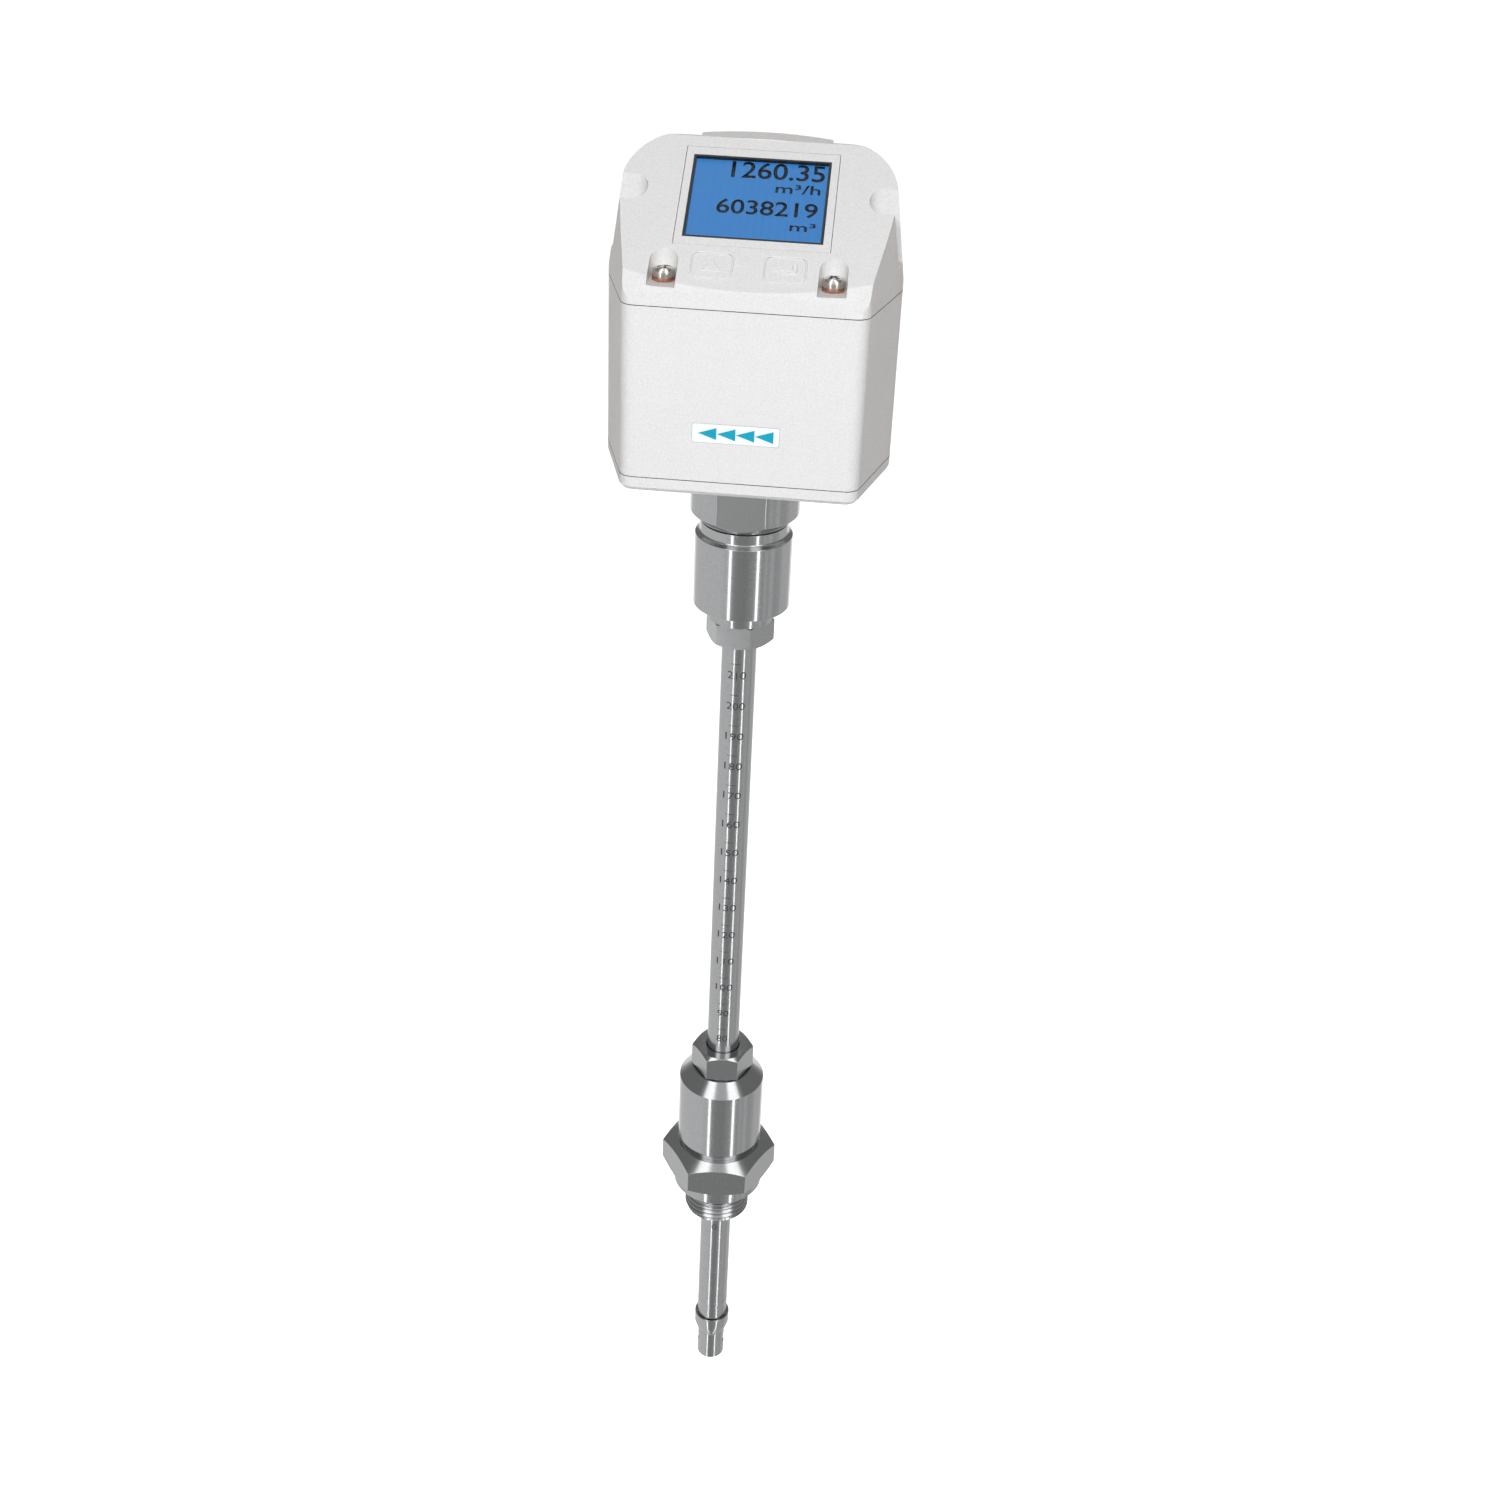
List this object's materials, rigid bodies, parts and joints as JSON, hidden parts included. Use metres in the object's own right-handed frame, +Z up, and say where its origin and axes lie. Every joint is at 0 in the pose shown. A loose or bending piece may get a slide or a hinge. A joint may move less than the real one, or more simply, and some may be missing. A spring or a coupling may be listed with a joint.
{
  "type": "compressed air flow sensor",
  "caption": "Insertion flow sensor: a graduated steel probe slides in a screw-in clamping fitting and carries a plastic head with a sloped display, keys and plug connectors.",
  "frame": {"origin": "centre of the process thread at its sealing seat, the underside of the fitting's collar, on the probe axis", "axes": "+Z up the probe towards the head; the head's front, with display slope and flow label, faces -Y; the flow hole runs along X"},
  "size_m": [0.0764, 0.0619, 0.4171],
  "materials": {
    "stainless_steel": "turned and milled stainless steel",
    "tube_steel": "ground stainless tube with an engraved scale",
    "housing_plastic": "light grey moulded plastic, fine grain",
    "seal_rubber": "black elastomer",
    "bush_plastic": "off-white low-friction plastic",
    "copper": "soft annealed copper",
    "brass": "turned brass",
    "nickel_plate": "nickel-plated steel",
    "ceramic": "fired ceramic",
    "sensor_glass": "glass-coated element",
    "wire_insulation": "coloured wire insulation",
    "potting": "grey potting plug",
    "display_black": "black display surround",
    "display_window": "clear window",
    "display_screen": "blue backlit screen with dark digits",
    "board": "green circuit board",
    "component_black": "moulded component bodies",
    "label": "white label with teal flow arrows",
    "contact_insert": "black contact carrier",
    "gold_contact": "gold-plated contacts"
  },
  "bodies": {
    "fitting": {"screw_in_nipple": "stainless_steel", "guide_bush": "bush_plastic", "body_seal": "copper", "fitting_body": "stainless_steel", "probe_seal": "seal_rubber"},
    "collet": {"clamp_collet": "brass"},
    "thrust_ring": {"thrust_ring": "stainless_steel"},
    "clamp_nut": {"clamp_nut": "stainless_steel"},
    "probe": {"probe_tube": "tube_steel", "safety_collar": "stainless_steel", "sensor_tip": "stainless_steel", "element_carrier": "ceramic", "heated_element": "sensor_glass", "reference_element": "sensor_glass", "probe_wires": "wire_insulation", "tube_plug": "potting", "stem_hex": "stainless_steel", "coupling_sleeve": "stainless_steel", "coupling_seal": "seal_rubber", "head_adapter": "stainless_steel", "adapter_seal": "seal_rubber", "adapter_locknut": "brass", "bottom_cover": "housing_plastic", "cover_screws": "nickel_plate", "base_housing": "housing_plastic", "arrow_label": "label", "lid_gasket": "seal_rubber", "lid": "housing_plastic", "lid_screws": "nickel_plate", "screw_washers": "copper", "display_bezel": "housing_plastic", "display_frame": "display_black", "display_window": "display_window", "display_module": "display_screen", "display_board": "board", "display_screws": "nickel_plate", "key_switches": "component_black", "main_board": "board", "board_parts": "component_black", "wire_socket": "bush_plastic", "board_standoffs": "brass", "board_screws": "nickel_plate", "left_plug_shell": "nickel_plate", "left_plug_insert": "contact_insert", "left_plug_pins": "gold_contact", "left_plug_seal": "seal_rubber", "left_plug_nut": "brass", "right_plug_shell": "nickel_plate", "right_plug_insert": "contact_insert", "right_plug_pins": "gold_contact", "right_plug_seal": "seal_rubber", "right_plug_nut": "brass"},
    "up_key": {"button_up": "housing_plastic"},
    "enter_key": {"button_enter": "housing_plastic"}
  },
  "joints": [
    {"name": "probe_turn", "type": "hinge", "parent": "fitting", "child": "collet", "pos_m": [0, 0, 0.026], "axis": [0, 0, 1], "continuous": true},
    {"name": "probe_slide", "type": "slide", "parent": "collet", "child": "probe", "axis": [0, 0, 1], "range_m": [-0.1434, 0.0498]},
    {"name": "ring_lift", "type": "slide", "parent": "fitting", "child": "thrust_ring", "axis": [0, 0, 1], "range_m": [0, 0.0015]},
    {"name": "nut_turn", "type": "hinge", "parent": "thrust_ring", "child": "clamp_nut", "pos_m": [0, 0, 0.0467], "axis": [0, 0, 1], "range_deg": [0, 360]},
    {"name": "up_key_press", "type": "slide", "parent": "probe", "child": "up_key", "axis": [0, 0.5299, -0.848], "range_m": [0, 0.0006], "stiffness_N_per_m": 1500, "springref_m": -0.0004},
    {"name": "enter_key_press", "type": "slide", "parent": "probe", "child": "enter_key", "axis": [0, 0.5299, -0.848], "range_m": [0, 0.0006], "stiffness_N_per_m": 1500, "springref_m": -0.0004}
  ],
  "couplings": [
    {"joint": "nut_turn", "follows": "ring_lift", "rad_per_m": 4188.7}
  ]
}
